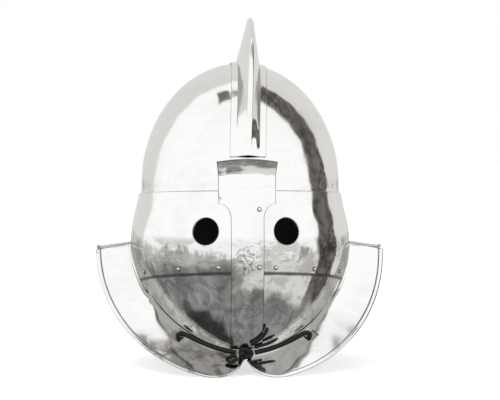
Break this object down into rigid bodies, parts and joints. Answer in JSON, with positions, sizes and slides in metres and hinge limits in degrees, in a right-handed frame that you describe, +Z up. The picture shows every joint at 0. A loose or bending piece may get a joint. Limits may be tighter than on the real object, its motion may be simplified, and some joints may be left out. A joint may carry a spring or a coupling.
{
  "type": "gladiator helmet",
  "caption": "Closed helmet of polished steel with a fin crest, a brim round jaw and nape, round eye holes, and a visor in halves tied by a black leather lace.",
  "frame": {"origin": "centre of the helmet's outline seen from above, at the height of its lowest points", "axes": "+Z up, -Y the way the face looks, +X to the right of a viewer who looks at the face"},
  "size_m": [0.2966, 0.2686, 0.3561],
  "materials": {
    "polished_steel": "polished",
    "black_leather": "matte"
  },
  "bodies": {
    "root": {"bowl": "polished_steel", "eye_plate_left": "polished_steel", "eye_plate_right": "polished_steel", "cheek_plate_left": "polished_steel", "cheek_plate_right": "polished_steel", "nose_band": "polished_steel", "front_flange_left": "polished_steel", "front_flange_right": "polished_steel", "neck_guard": "polished_steel", "crest": "polished_steel", "rivet_left_1": "polished_steel", "rivet_left_2": "polished_steel", "rivet_left_3": "polished_steel", "rivet_right_1": "polished_steel", "rivet_right_2": "polished_steel", "rivet_right_3": "polished_steel", "rivet_band_1": "polished_steel", "rivet_band_2": "polished_steel", "hinge_left": "polished_steel", "hinge_right": "polished_steel", "chin_lace": "black_leather", "lace_knot": "black_leather", "lace_bow": "black_leather", "lace_end_1": "black_leather", "lace_end_2": "black_leather"}
  },
  "joints": []
}
